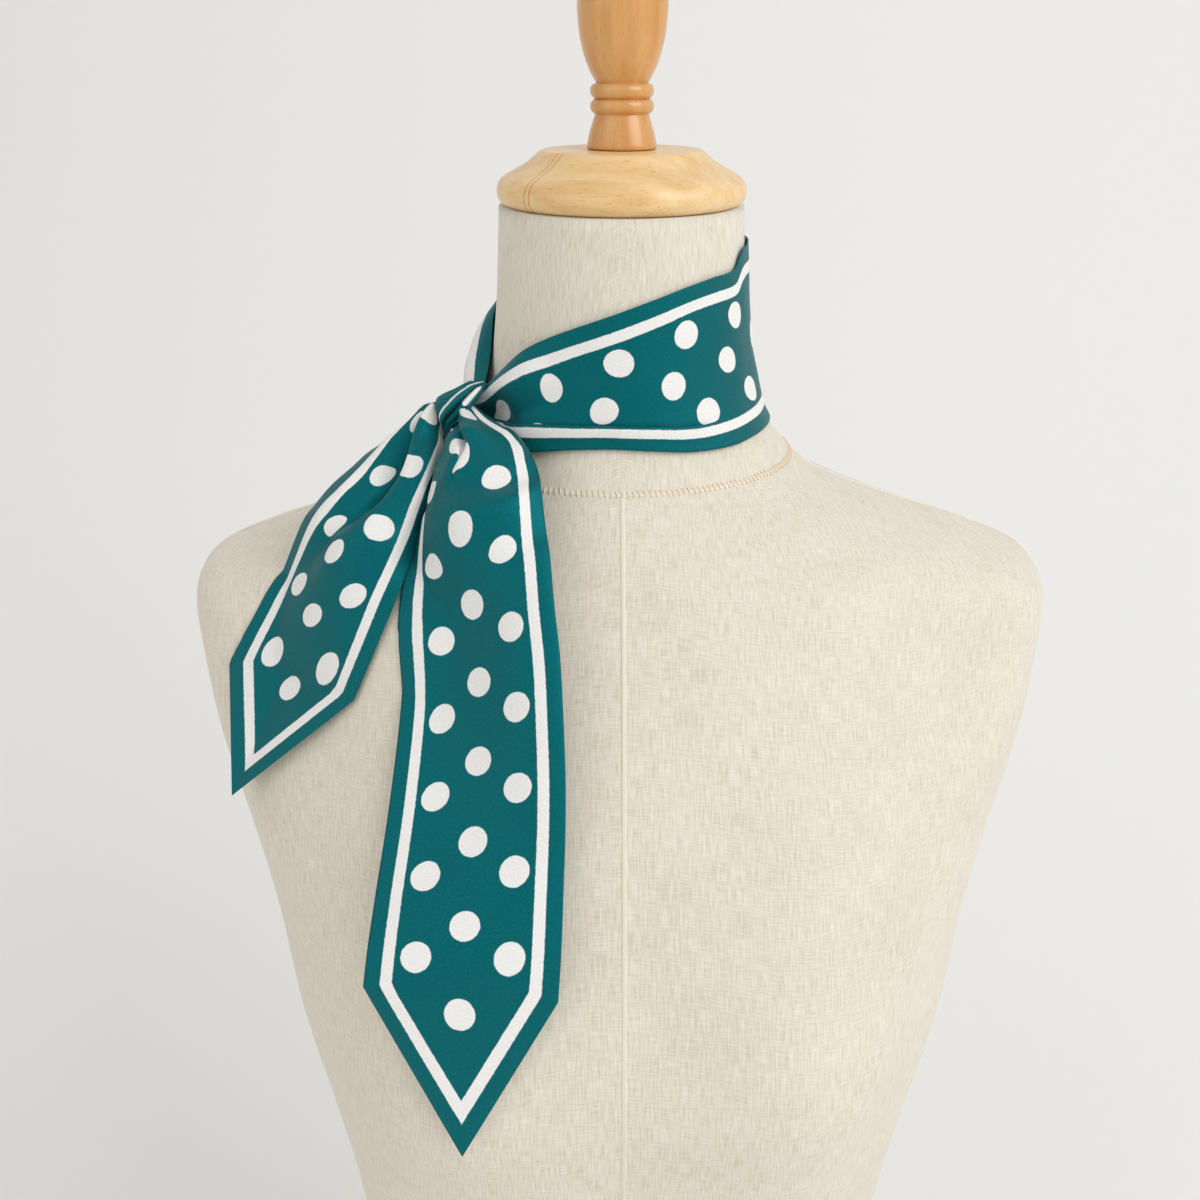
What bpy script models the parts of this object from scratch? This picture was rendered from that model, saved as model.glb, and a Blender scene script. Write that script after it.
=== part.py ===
"""A skinny silk scarf, wound once round the neck of a limbless dress form and tied in a half knot.

Lengths in the tables are in millimetres, and each shape is scaled to metres as it is made.
The form faces -Y and +Z is up. The origin is the centre of the underside of the base board.
"""

import math
from collections import namedtuple

import bmesh
import bpy
from mathutils import Vector

MM = 0.001
GAP = 0.3  # between two pieces that touch

# The scarf: laid flat it is 71 wide and 1017 long, with a point at each end
POINT_LENGTH = 57.0
WALL = 1.0  # two layers of silk and the air between them
LOOP_OFF_FORM = 0.6  # where the loop lies on the neck
TAIL_OFF_FORM = 2.2  # where a tail lies on the chest or the shoulder

# The form
BOARD_THICK = 12.0
NECK_POINT = Vector((0.0, 22.0, 640.0))  # on the neck's axis, level with the middle of the band
NECK_TILT = math.radians(10.0)  # the neck leans forward
NECK_TOP = 85.0  # along the neck's axis, from NECK_POINT

NECK_UP = Vector((0.0, -math.sin(NECK_TILT), math.cos(NECK_TILT)))
NECK_FRONT = Vector((0.0, -math.cos(NECK_TILT), -math.sin(NECK_TILT)))
NECK_SIDE = Vector((1.0, 0.0, 0.0))


# ---------------------------------------------------------------- scene and small helpers


def clear_scene():
    for old in list(bpy.data.objects):
        bpy.data.objects.remove(old, do_unlink=True)


def new_collection(name):
    collection = bpy.data.collections.new(name)
    bpy.context.scene.collection.children.link(collection)
    return collection


def new_material(name, color, roughness, metallic=0.0):
    material = bpy.data.materials.new(name)
    material.use_nodes = True
    shader = material.node_tree.nodes["Principled BSDF"]
    shader.inputs["Base Color"].default_value = (*color, 1.0)
    shader.inputs["Roughness"].default_value = roughness
    shader.inputs["Metallic"].default_value = metallic
    return material


def add_object(name, bm, material, collection):
    """Turns a bmesh in millimetres into a smooth-shaded object in metres."""
    bmesh.ops.scale(bm, vec=(MM, MM, MM), verts=bm.verts)
    mesh = bpy.data.meshes.new(name)
    bm.to_mesh(mesh)
    bm.free()
    mesh.materials.append(material)
    mesh.shade_smooth()
    obj = bpy.data.objects.new(name, mesh)
    collection.objects.link(obj)
    return obj


def grid_faces(bm, rows, closed):
    """Joins rows of points, each as long as the next, with quads. closed joins each row's end to its start."""
    grid = [[bm.verts.new(point) for point in row] for row in rows]
    for low, high in zip(grid, grid[1:]):
        count = len(low)
        for i in range(count if closed else count - 1):
            j = (i + 1) % count
            bm.faces.new((low[i], low[j], high[j], high[i]))
    return grid


def smooth_rows(table, steps):
    """Rows of a table with steps - 1 more between each pair, on a curve through every row's values."""
    rows = []
    last = len(table) - 1
    for i in range(last):
        a, b, c, d = (table[max(0, min(last, k))] for k in (i - 1, i, i + 1, i + 2))
        for step in range(steps):
            t = step / steps
            rows.append(
                type(b)(
                    *(
                        0.5 * (2 * q + (r - p) * t + (2 * p - 5 * q + 4 * r - s) * t * t + (3 * q - p - 3 * r + s) * t**3)
                        for p, q, r, s in zip(a, b, c, d)
                    )
                )
            )
    rows.append(table[last])
    return rows


# ---------------------------------------------------------------- the dress form

# Each ring of the torso: the height of its side, front and back points, its half width, how far its
# side, front and back points lie along Y, how square it is, how far each side of the chest stands out,
# and how deep the hollow is in front of each shoulder.
Ring = namedtuple("Ring", "z_side z_front z_back half_width y_side y_front y_back square chest hollow")
TORSO_RINGS = [
    Ring(12.3, 12.3, 12.3, 157, 4, -100, 110, 2.3, 0, 0),
    Ring(28, 28, 28, 164, 4, -108, 118, 2.3, 0, 0),
    Ring(70, 70, 70, 168, 4, -111, 122, 2.3, 0, 0),
    Ring(120, 120, 120, 160, 4, -109, 112, 2.3, 0, 0),
    Ring(175, 175, 175, 140, 3, -101, 92, 2.3, 0, 0),
    Ring(235, 235, 235, 120, 3, -95, 80, 2.25, 0, 0),
    Ring(290, 290, 290, 126, 4, -104, 86, 2.25, 2, 0),
    Ring(340, 340, 340, 137, 6, -117, 95, 2.2, 9, 0),
    Ring(385, 385, 385, 148, 8, -127, 102, 2.2, 15, 0),
    Ring(425, 425, 425, 157, 10, -122, 106, 2.15, 13, 0),
    Ring(460, 460, 460, 170, 14, -112, 108, 2.1, 9, 4),
    Ring(495, 492, 495, 183, 18, -100, 108, 2.05, 4, 10),
    Ring(530, 522, 527, 191, 22, -88, 106, 2.0, 1, 18),
    Ring(558, 545, 552, 194, 26, -78, 103, 2.0, 0, 18),
    Ring(574, 559, 566, 184, 29, -71, 100, 2.05, 0, 14),
    Ring(585, 570, 581, 160, 30, -65, 97, 2.1, 0, 8),
    Ring(594.5, 580, 594, 131, 29, -59, 94, 2.1, 0, 4),
    Ring(602.5, 590, 606, 107, 28, -53.5, 91, 2.05, 0, 0),
    Ring(610, 599, 617, 88, 27, -47.5, 88, 2.05, 0, 0),
]
CHEST_SPREAD = 74.0  # from the middle to the fullest line of each side
CHEST_WIDTH = 40.0
HOLLOW_SPREAD = 135.0
HOLLOW_WIDTH = 38.0

# The neck's rings: height along its axis, and its radius at the front, the sides and the back
NeckRing = namedtuple("NeckRing", "height front side back")
NECK_RINGS = [
    NeckRing(-21, 67.5, 76.5, 60.0),
    NeckRing(-12, 62.5, 69.0, 58.0),
    NeckRing(-2, 58.9, 63.0, 57.0),
    NeckRing(10, 56.6, 59.3, 56.0),
    NeckRing(25, 54.9, 56.0, 54.7),
    NeckRing(45, 53.5, 53.8, 53.5),
    NeckRing(65, 52.6, 52.6, 52.6),
    NeckRing(NECK_TOP, 51.6, 51.6, 51.6),
]
TORSO_SIDES = 36
RING_STEPS = 2


def hump(distance, width):
    return math.exp(-((distance / width) ** 2))


def torso_ring(ring):
    points = []
    power = 2 / ring.square
    for i in range(TORSO_SIDES):
        angle = 2 * math.pi * i / TORSO_SIDES
        c, s = math.cos(angle), math.sin(angle)
        x = ring.half_width * math.copysign(abs(c) ** power, c)
        reach = abs(s) ** power
        y_end, z_end = (ring.y_front, ring.z_front) if s < 0 else (ring.y_back, ring.z_back)
        y = ring.y_side + (y_end - ring.y_side) * reach
        z = ring.z_side + (z_end - ring.z_side) * reach
        if s < 0:
            fade = min(1.0, 3 * reach)
            y -= ring.chest * hump(abs(x) - CHEST_SPREAD, CHEST_WIDTH) * fade
            y += ring.hollow * hump(abs(x) - HOLLOW_SPREAD, HOLLOW_WIDTH) * fade
        points.append(Vector((x, y, z)))
    return points


def neck_radius(ring, angle):
    ahead = math.cos(angle)
    end = ring.front if ahead > 0 else ring.back
    return 1 / math.hypot(ahead / end, math.sin(angle) / ring.side)


def neck_place(angle, height, radius):
    """A point beside the neck. The angle is 0 at the front and a quarter turn at +X."""
    out = NECK_SIDE * math.sin(angle) + NECK_FRONT * math.cos(angle)
    return NECK_POINT + NECK_UP * height + out * radius


def neck_ring(ring):
    turns = [math.pi / 2 + 2 * math.pi * i / TORSO_SIDES for i in range(TORSO_SIDES)]
    return [neck_place(turn, ring.height, neck_radius(ring, turn)) for turn in turns]


def build_torso(material, collection):
    rings = [torso_ring(ring) for ring in smooth_rows(TORSO_RINGS, RING_STEPS)]
    rings += [neck_ring(ring) for ring in NECK_RINGS]
    bm = bmesh.new()
    grid = grid_faces(bm, rings, closed=True)
    bm.faces.new(reversed(grid[0]))
    bm.faces.new(grid[-1])
    return add_object("form_torso", bm, material, collection)


def build_base_board(material, collection):
    """The board under the torso follows its lowest ring, with a small chamfer all round."""
    ring = torso_ring(TORSO_RINGS[0])
    centre = sum(ring, Vector()) / len(ring)
    bm = bmesh.new()
    levels = ((0.0, 0.975), (3.0, 0.99), (BOARD_THICK, 0.99))
    rows = []
    for height, share in levels:
        row = [centre + (point - centre) * share for point in ring]
        rows.append([Vector((point.x, point.y, height)) for point in row])
    grid = grid_faces(bm, rows, closed=True)
    bm.faces.new(reversed(grid[0]))
    bm.faces.new(grid[-1])
    return add_object("form_base_board", bm, material, collection)


# Turned profiles: radius and height above the piece's own underside, from the top down the outer side
CAP_PROFILE = [
    (0.0, 22.0),
    (32.5, 22.0),
    (34.0, 21.4),
    (36.5, 19.2),
    (39.5, 16.8),
    (44.0, 14.3),
    (48.8, 12.0),
    (51.4, 9.2),
    (52.3, 6.0),
    (51.8, 2.9),
    (50.0, 0.7),
    (47.5, 0.0),
    (0.0, 0.0),
]
FINIAL_PROFILE = [
    (0.0, 76.0),
    (5.0, 75.5),
    (11.0, 72.6),
    (15.8, 67.0),
    (18.1, 59.5),
    (18.2, 52.0),
    (17.2, 42.5),
    (14.9, 33.8),
    (11.3, 26.8),
    (10.7, 25.4),
    (12.2, 24.8),
    (13.0, 22.4),
    (12.2, 20.0),
    (11.4, 19.4),
    (12.2, 18.9),
    (13.0, 16.5),
    (12.2, 14.1),
    (11.2, 13.4),
    (12.3, 9.8),
    (13.8, 5.0),
    (14.5, 1.2),
    (14.2, 0.0),
    (0.0, 0.0),
]


def build_turned(name, profile, height, steps, material, collection):
    """A profile turned round the neck's axis, standing at this height on it."""
    mesh = bpy.data.meshes.new(name)
    points = [(radius * MM, 0.0, rise * MM) for radius, rise in profile]
    mesh.from_pydata(points, [(i, i + 1) for i in range(len(points) - 1)], [])
    mesh.materials.append(material)
    obj = bpy.data.objects.new(name, mesh)
    collection.objects.link(obj)
    obj.location = (NECK_POINT + NECK_UP * height) * MM
    obj.rotation_euler = (NECK_TILT, 0.0, 0.0)
    screw = obj.modifiers.new("turned", "SCREW")
    screw.axis = "Z"
    screw.steps = screw.render_steps = steps
    screw.use_merge_vertices = True
    screw.merge_threshold = 0.00001
    screw.use_smooth_shade = True
    return obj


# ---------------------------------------------------------------- the scarf


def add_cloth(name, rows, form, off_form, material, collection):
    """A wall of cloth on a grid of points: one row for each section, each row across the width."""
    bm = bmesh.new()
    grid_faces(bm, rows, closed=False)
    obj = add_object(name, bm, material, collection)
    rest = obj.modifiers.new("rest_on_form", "SHRINKWRAP")
    rest.target = form
    rest.wrap_method = "NEAREST_SURFACEPOINT"
    rest.wrap_mode = "OUTSIDE"
    rest.offset = (WALL / 2 + off_form) * MM
    wall = obj.modifiers.new("wall", "SOLIDIFY")
    wall.thickness = WALL * MM
    wall.offset = 0.0
    wall.use_even_offset = False
    return obj


# The loop round the neck. A row for each section: its angle round the neck in degrees, 0 in front
# and 90 at +X; the heights of its top and bottom edges and of the tuck; how far the wall stands off
# the neck; and how deep the tuck is, whose lower lip lies outside.
Turn = namedtuple("Turn", "angle top bottom tuck_at stand fold")
LOOP_TURNS = [
    Turn(-52.8, 17, -4, 0.5, 6.6, 2.6),
    Turn(-42, 31, -7, 2, 2.4, 3.5),
    Turn(-30, 39, -7, 4, 1.1, 3.6),
    Turn(-10, 47, -5.5, 5, 0.8, 3.6),
    Turn(10, 53, -5.5, 4.5, 0.8, 3.2),
    Turn(28, 58.5, -6.5, 0, 0.8, 1.8),
    Turn(42, 61.5, -7, 2, 0.8, 0.3),
    Turn(60, 63, -6.5, 4, 0.8, 0.0),
    Turn(78, 68, -4, 6, 1.0, 0.0),
    Turn(100, 70, -1, 8, 1.0, 0.0),
    Turn(130, 68, -2, 8, 0.8, 0.0),
    Turn(160, 64, -5, 6, 0.8, 0.0),
    Turn(190, 60, -8, 4, 0.8, 0.0),
    Turn(215, 56, -10, 2, 0.8, 0.5),
]
RETURN_TURNS = [
    Turn(215.4, 56, -10, 2, 0.8, 0.5),
    Turn(235, 52, -10, 2, 1.0, 1.5),
    Turn(255, 48, -8, 3, 1.8, 2.5),
    Turn(268, 43, -5, 4, 3.5, 3.0),
    Turn(279, 35, -1, 5, 7.0, 3.0),
    Turn(289.4, 25.5, 3, 6, 12.2, 2.4),
]
TUCK_REACH = 8.0  # how much of the width on each side of the tuck takes part in its fold
WIDTH_SHARES = (0.0, 0.16, 0.32, 0.48, 0.64, 0.82)  # sections' points above the tuck's reach
FOLD_SHARES = (-1.0, -0.7, -0.45, -0.2, 0.0, 0.2, 0.45, 0.7, 1.0)  # and through it
FOLD_DROP = 1.6  # how far the fold hangs down, for each mm that it stands out


def neck_radius_at(angle, height):
    rings = NECK_RINGS
    height = max(rings[0].height, min(rings[-1].height, height))
    for low, high in zip(rings, rings[1:]):
        if height <= high.height:
            share = (height - low.height) / (high.height - low.height)
            return neck_radius(low, angle) * (1 - share) + neck_radius(high, angle) * share
    return neck_radius(rings[-1], angle)


def loop_section(turn):
    """One section of the loop, from its top edge to its bottom edge, with an S-shaped fold at the tuck."""
    angle = math.radians(turn.angle)
    above, below = turn.tuck_at + TUCK_REACH, turn.tuck_at - TUCK_REACH
    below = max(below, turn.bottom + 1.0)
    path = [(turn.top + (above - turn.top) * share, 0.0) for share in WIDTH_SHARES]
    for share in FOLD_SHARES:
        height = turn.tuck_at - share * (above - turn.tuck_at if share < 0 else turn.tuck_at - below)
        fade = 1 - share * share
        hang = turn.fold * FOLD_DROP * math.sin(math.pi * share) * fade
        path.append((height + hang, turn.fold * (0.55 + 0.75 * share) * fade))
    path.append((turn.bottom, 0.0))
    points = []
    for height, out in path:
        radius = neck_radius_at(angle, height) + WALL / 2 + turn.stand + out
        points.append(neck_place(angle, height, radius))
    return points


def build_loop(name, table, steps, form, material, collection):
    rows = [loop_section(turn) for turn in smooth_rows(table, steps)]
    return add_cloth(name, rows, form, LOOP_OFF_FORM, material, collection)


# The tails. A row for each section from the knot down: the places of its left and right edges, how far
# its middle stands out towards the viewer, and the height of the soft waves across it.
Section = namedtuple("Section", "left_x left_y left_z right_x right_y right_z bulge wave")
FRONT_TAIL = [
    Section(-72, -22, 628, -51, -29, 631, 2, 1.5),
    Section(-77, -26, 621, -40, -37, 624, 4, 3),
    Section(-78, -31, 614, -34, -46, 617, 5, 3.5),
    Section(-79, -38, 605, -31, -57, 610, 5, 3.5),
    Section(-82, -48, 589, -29, -70, 595, 5, 3.2),
    Section(-85, -59, 566, -27, -83, 572, 4.5, 3),
    Section(-86, -69, 543, -24, -92, 550, 4, 2.6),
    Section(-88, -86, 510, -22, -103, 516, 3, 1.8),
    Section(-91, -105, 473, -22, -116, 478, 2, 0.8),
    Section(-96, -127, 438, -24, -131, 438, 1, 0.3),
]
FRONT_POINT_WAY = Vector((0.02, -0.18, -0.98))  # from the middle of the last section to the tip
SIDE_TAIL = [
    Section(-80, -8, 637.5, -78, -16, 628.5, 1.5, 1),
    Section(-91, -4, 634, -80, -23, 619, 4, 2),
    Section(-100, -2, 628, -80, -28, 611, 5, 2.5),
    Section(-111, -1, 620, -81, -34, 601, 5, 2.5),
    Section(-126, -2, 604, -84, -42, 587, 5, 2),
    Section(-137, -9, 584, -90, -50, 570, 5, 1.5),
    Section(-148, -19, 562, -98, -56, 549, 5, 0.8),
    Section(-165, -20, 530, -108, -60, 525, 5, 0.3),
]
SIDE_POINT_WAY = Vector((-0.49, -0.12, -0.86))
ACROSS = 12  # faces across a tail
POINT_SHARES = (0.25, 0.5, 0.75, 0.985)  # sections' places along the point


def tail_section(section):
    left = Vector((section.left_x, section.left_y, section.left_z))
    right = Vector((section.right_x, section.right_y, section.right_z))
    out = (right - left).cross(Vector((0.0, 0.0, 1.0))).normalized()
    points = []
    for i in range(ACROSS + 1):
        share = i / ACROSS
        crown = section.bulge * (1 - (2 * share - 1) ** 2)
        wave = section.wave * math.sin(3 * math.pi * share) * math.sin(math.pi * share)
        points.append(left.lerp(right, share) + out * (crown + wave))
    return points


def build_tail(name, table, point_way, steps, form, material, collection):
    rows = [tail_section(section) for section in smooth_rows(table, steps)]
    edge = rows[-1]
    tip = (edge[0] + edge[-1]) / 2 + point_way.normalized() * POINT_LENGTH
    rows += [[point.lerp(tip, share) for point in edge] for share in POINT_SHARES]
    return add_cloth(name, rows, form, TAIL_OFF_FORM, material, collection)


# The knot: a gathered wrap drawn round a rounded core of hidden layers
KNOT_CENTRE = Vector((-67.0, -16.0, 641.0))
KNOT_RUN = Vector((-0.6, 0.0, -0.8))  # the way that the wrap crosses the front of the knot
KNOT_OUT = Vector((-0.35, -0.93, 0.05)).normalized()
KNOT_AXIS = KNOT_RUN.cross(KNOT_OUT).normalized()
KNOT_OUT = KNOT_AXIS.cross(KNOT_RUN).normalized()
WRAP_HALF_LENGTH = 12.5
WRAP_HALF_DEPTH = 9.0
WRAP_HALF_WIDTH = 7.0
WRAP_CROWN = 2.0
WRAP_PLEAT = 0.7
WRAP_SIDES = 24
WRAP_ACROSS = 8
CORE_SHARES = (0.955, 0.9, 1.34)  # of the wrap's half length, depth and width
CORE_SQUARE = 4  # how full the core's ends are: 2 would be a plain ellipsoid


def knot_place(along, out, across):
    return KNOT_CENTRE + KNOT_RUN * along + KNOT_OUT * out + KNOT_AXIS * across


def build_knot_wrap(material, collection):
    rows = []
    for i in range(WRAP_ACROSS + 1):
        share = 2 * i / WRAP_ACROSS - 1
        swell = WRAP_CROWN * (1 - share * share) + WRAP_PLEAT * math.cos(3 * math.pi * share)
        row = []
        for j in range(WRAP_SIDES):
            turn = 2 * math.pi * j / WRAP_SIDES
            along = (WRAP_HALF_LENGTH + swell) * math.cos(turn)
            out = (WRAP_HALF_DEPTH + swell) * math.sin(turn)
            row.append(knot_place(along, out, share * WRAP_HALF_WIDTH))
        rows.append(row)
    bm = bmesh.new()
    grid_faces(bm, rows, closed=True)
    obj = add_object("scarf_knot_wrap", bm, material, collection)
    wall = obj.modifiers.new("wall", "SOLIDIFY")
    wall.thickness = WALL * MM
    wall.offset = 0.0
    return obj


def build_knot_core(material, collection):
    bm = bmesh.new()
    bmesh.ops.create_uvsphere(bm, u_segments=20, v_segments=12, radius=1.0)
    for vert in bm.verts:
        round_part = max(1e-6, math.hypot(vert.co.x, vert.co.y))
        fill = max(0.0, 1 - abs(vert.co.z) ** CORE_SQUARE) ** (1 / CORE_SQUARE) / round_part
        along = vert.co.x * fill * WRAP_HALF_LENGTH * CORE_SHARES[0]
        out = vert.co.y * fill * WRAP_HALF_DEPTH * CORE_SHARES[1]
        across = vert.co.z * WRAP_HALF_WIDTH * CORE_SHARES[2]
        vert.co = knot_place(along, out, across)
    bmesh.ops.recalc_face_normals(bm, faces=bm.faces)
    return add_object("scarf_knot_core", bm, material, collection)


# ---------------------------------------------------------------- putting it together


def build_all():
    clear_scene()
    parts = new_collection("silk_scarf_on_dress_form")
    linen = new_material("linen_cover", (0.72, 0.66, 0.55), 0.85)
    cap_wood = new_material("pale_wood", (0.73, 0.48, 0.2), 0.4)
    finial_wood = new_material("oiled_wood", (0.6, 0.32, 0.11), 0.35)
    silk = new_material("teal_silk", (0.012, 0.17, 0.17), 0.45)
    form = build_torso(linen, parts)
    build_base_board(cap_wood, parts)
    cap_at = NECK_TOP + GAP
    finial_at = cap_at + CAP_PROFILE[0][1] + GAP
    build_turned("form_neck_cap", CAP_PROFILE, cap_at, 36, cap_wood, parts)
    build_turned("form_finial", FINIAL_PROFILE, finial_at, 24, finial_wood, parts)
    build_loop("scarf_neck_band", LOOP_TURNS, 2, form, silk, parts)
    build_loop("scarf_return_stretch", RETURN_TURNS, 2, form, silk, parts)
    build_knot_core(silk, parts)
    build_knot_wrap(silk, parts)
    build_tail("scarf_front_tail", FRONT_TAIL, FRONT_POINT_WAY, 2, form, silk, parts)
    build_tail("scarf_side_tail", SIDE_TAIL, SIDE_POINT_WAY, 2, form, silk, parts)


build_all()
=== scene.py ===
"""A skinny silk scarf, wound once round the neck of a limbless dress form and tied at its side.

The pieces come in the order in which they are put together: the form from its board up, then the
scarf from the loop to its tails, and last the room, the lights and the camera.
Tables are in millimetres and degrees, meshes in metres. The form faces -Y and +Z is up.
"""

import math
from collections import namedtuple

import bmesh
import bpy
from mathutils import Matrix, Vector, noise
from mathutils.bvhtree import BVHTree


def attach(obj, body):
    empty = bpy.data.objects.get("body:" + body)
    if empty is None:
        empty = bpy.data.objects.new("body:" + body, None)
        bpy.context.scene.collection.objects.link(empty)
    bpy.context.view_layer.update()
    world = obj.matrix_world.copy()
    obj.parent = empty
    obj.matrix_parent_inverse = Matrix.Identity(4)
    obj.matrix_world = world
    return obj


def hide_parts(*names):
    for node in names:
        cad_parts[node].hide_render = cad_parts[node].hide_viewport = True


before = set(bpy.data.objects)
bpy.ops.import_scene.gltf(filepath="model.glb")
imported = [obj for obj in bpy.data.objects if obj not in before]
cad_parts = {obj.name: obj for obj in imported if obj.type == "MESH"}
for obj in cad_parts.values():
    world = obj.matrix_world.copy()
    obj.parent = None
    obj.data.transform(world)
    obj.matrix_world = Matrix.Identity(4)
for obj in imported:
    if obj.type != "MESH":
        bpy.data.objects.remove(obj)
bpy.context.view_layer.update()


# ------------------------ base board
# The board that closes the torso underneath: solid beech, sawn to the outline of the hips, planed,
# with its lower edge eased, and the torso's shell is stapled down on it. It is finished with oil.

MM = 0.001
GROWTH_SCALE, PORE_SCALE = (9, 110, 150), (160, 1300, 1300)  # to the metre, along the grain and across it


def hex_colour(text):
    """An sRGB hex value as a linear colour."""
    parts = [int(text[i:i + 2], 16) / 255 for i in (1, 3, 5)]
    linear = [c / 12.92 if c <= 0.04045 else ((c + 0.055) / 1.055) ** 2.4 for c in parts]
    return (*linear, 1.0)


def add_node(tree, kind, settings=None, inputs=None):
    """Adds a node. settings are its own properties; inputs are values or sockets, by name or number."""
    made = tree.nodes.new("ShaderNode" + kind)
    for key, value in (settings or {}).items():
        setattr(made, key, value)
    for key, value in (inputs or {}).items():
        if isinstance(value, bpy.types.NodeSocket):
            tree.links.new(value, made.inputs[key])
        else:
            made.inputs[key].default_value = value
    return made


def new_material(name, **shader_values):
    """A material with a Principled BSDF. Underscores in the names of its values stand for spaces."""
    material = bpy.data.materials.new(name)
    material.use_nodes = True
    shader = material.node_tree.nodes["Principled BSDF"]
    for key, value in shader_values.items():
        shader.inputs[key.replace("_", " ")].default_value = value
    return material, material.node_tree, shader


def add_ramp(tree, fac, stops):
    """A colour ramp from a list of places and hex colours."""
    ramp = add_node(tree, "ValToRGB", {}, {"Fac": fac})
    points = ramp.color_ramp.elements
    for i, (place, colour) in enumerate(stops):
        point = points[i] if i < 2 else points.new(place)
        point.position, point.color = place, hex_colour(colour)
    return ramp.outputs["Color"]


def stretched(tree, place, scale):
    """A place with each of its parts multiplied, for texture that is longer one way."""
    return add_node(tree, "Mapping", {}, {"Vector": place, "Scale": scale}).outputs[0]


def add_noise(tree, place, scale, detail, roughness=0.5, dimensions="3D"):
    """Soft noise over a place, from 0 to 1."""
    inputs = {"Vector": place, "Scale": scale, "Detail": detail, "Roughness": roughness}
    return add_node(tree, "TexNoise", {"noise_dimensions": dimensions}, inputs).outputs["Fac"]


def add_step(tree, value, low, high, to_low=0.0, to_high=1.0):
    """A smooth step from to_low, where the value is low, to to_high, where it is high."""
    inputs = {"Value": value, "From Min": low, "From Max": high, "To Min": to_low, "To Max": to_high}
    return add_node(tree, "MapRange", {"interpolation_type": "SMOOTHSTEP"}, inputs).outputs[0]


def add_mix(tree, factor, a, b, blend="MIX"):
    """Colour b over colour a, as strongly as the factor says."""
    settings = {"data_type": "RGBA", "blend_type": blend}
    return add_node(tree, "Mix", settings, {"Factor": factor, "A": a, "B": b}).outputs["Result"]


def add_bump(tree, shader, height, strength, distance, invert=False):
    """Fine relief in the surface. The distance is in metres."""
    inputs = {"Strength": strength, "Distance": distance, "Height": height}
    bump = add_node(tree, "Bump", {"invert": invert}, inputs)
    tree.links.new(bump.outputs["Normal"], shader.inputs["Normal"])


def turned_wood(name, stops, grain_turn, fleck, **shader_values):
    """Oiled or varnished solid wood. Long bands 3 to 8 mm wide are the growth rings, cut lengthwise,
    and short dark flecks under 1 mm wide are its pores: they give the eye the run of the grain."""
    material, tree, shader = new_material(name, **shader_values)
    place = add_node(tree, "TexCoord").outputs["Object"]
    place = add_node(tree, "Mapping", {}, {"Vector": place, "Rotation": grain_turn}).outputs[0]
    growth = add_noise(tree, stretched(tree, place, GROWTH_SCALE), 1.0, 4.0, roughness=0.55)
    pores = add_noise(tree, stretched(tree, place, PORE_SCALE), 1.0, 2.0)
    bands = add_ramp(tree, growth, stops)
    flecks = add_step(tree, pores, 0.56, 0.7, to_high=fleck)
    grained = add_mix(tree, flecks, bands, hex_colour("#B88A5A"), "MULTIPLY")
    tree.links.new(grained, shader.inputs["Base Color"])
    add_bump(tree, shader, flecks, 0.12, 0.0002, invert=True)
    return material, tree, shader


def dress(node_name, material):
    """Gives a CAD node that keeps its shape its real material."""
    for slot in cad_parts[node_name].material_slots:
        slot.material = material


# Oiled beech: an even, light brown wood with a dull surface and clear dark pores.
oiled_beech, _, _ = turned_wood(
    "oiled_beech", [(0.3, "#C99A63"), (0.7, "#DDB582")], (0.0, 0.0, 0.1), 0.6, Roughness=0.5, IOR=1.5
)
dress("form_base_board", oiled_beech)


# ------------------------ torso
# A hollow shell of pressed pulp, padded thinly and covered with unbleached linen that is stretched
# tight over it and sewn: one piece for the neck, two for the front and two for the back.

# The sections, from the base up. Heights and depths are given at the side, in front and at the back;
# square is 2 for an ellipse and more for squarer corners; chest and hollow are how far the chest
# stands out and the hollow below the shoulder sinks in.
Ring = namedtuple("Ring", "z_side z_front z_back half_width y_side y_front y_back square chest hollow")
TORSO_RINGS = [Ring(*row) for row in (
    (12.3, 12.3, 12.3, 157, 4, -100, 110, 2.3, 0, 0),
    (28, 28, 28, 164, 4, -108, 118, 2.3, 0, 0),
    (70, 70, 70, 168, 4, -111, 122, 2.3, 0, 0),
    (120, 120, 120, 160, 4, -109, 112, 2.3, 0, 0),
    (175, 175, 175, 140, 3, -101, 92, 2.3, 0, 0),
    (235, 235, 235, 120, 3, -95, 80, 2.25, 0, 0),
    (290, 290, 290, 126, 4, -104, 86, 2.25, 2, 0),
    (340, 340, 340, 137, 6, -117, 95, 2.2, 9, 0),
    (385, 385, 385, 148, 8, -127, 102, 2.2, 15, 0),
    (425, 425, 425, 157, 10, -122, 106, 2.15, 13, 0),
    (460, 460, 460, 170, 14, -112, 108, 2.1, 9, 4),
    (495, 492, 495, 183, 18, -100, 108, 2.05, 4, 10),
    (530, 522, 527, 191, 22, -88, 106, 2, 1, 18),
    (558, 545, 552, 194, 26, -78, 103, 2, 0, 18),
    (574, 559, 566, 184, 29, -71, 100, 2.05, 0, 14),
    (585, 570, 581, 160, 30, -65, 97, 2.1, 0, 8),
    (594.5, 580, 594, 131, 29, -59, 94, 2.1, 0, 4),
    (602.5, 590, 606, 107, 28, -53.5, 91, 2.05, 0, 0),
    (610, 599, 617, 88, 27, -47.5, 88, 2.05, 0, 0),
)]
CHEST_SPREAD, CHEST_WIDTH = 74.0, 40.0
HOLLOW_SPREAD, HOLLOW_WIDTH = 135.0, 38.0

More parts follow.
